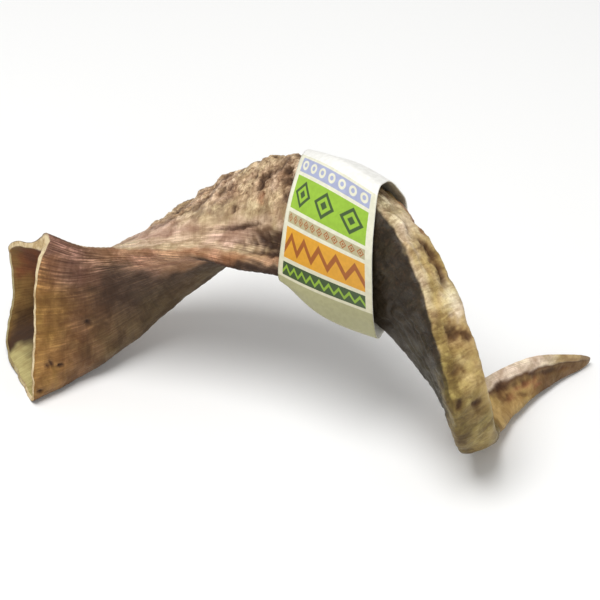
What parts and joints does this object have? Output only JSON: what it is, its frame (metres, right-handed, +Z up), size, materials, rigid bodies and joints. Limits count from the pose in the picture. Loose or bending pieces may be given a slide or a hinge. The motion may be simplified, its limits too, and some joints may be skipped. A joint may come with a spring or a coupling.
{
  "type": "ram horn",
  "caption": "Large sheep's horn with a hollow, slanting sawn base, growth ridges and a curled tip, wrapped in a loose printed paper label band.",
  "frame": {"origin": "centre of the bounding box in plan, on the floor that the horn lies on", "axes": "+X along the longest extent, from the sawn base to the tip; +Z up, the part's shortest extent; -Y towards the side the picture was taken from"},
  "size_m": [0.3204, 0.1602, 0.1475],
  "materials": {
    "horn_keratin": "satin, weathered keratin",
    "label_paper": "satin printed paper"
  },
  "bodies": {
    "root": {"horn": "horn_keratin", "label_band": "label_paper"}
  },
  "joints": []
}
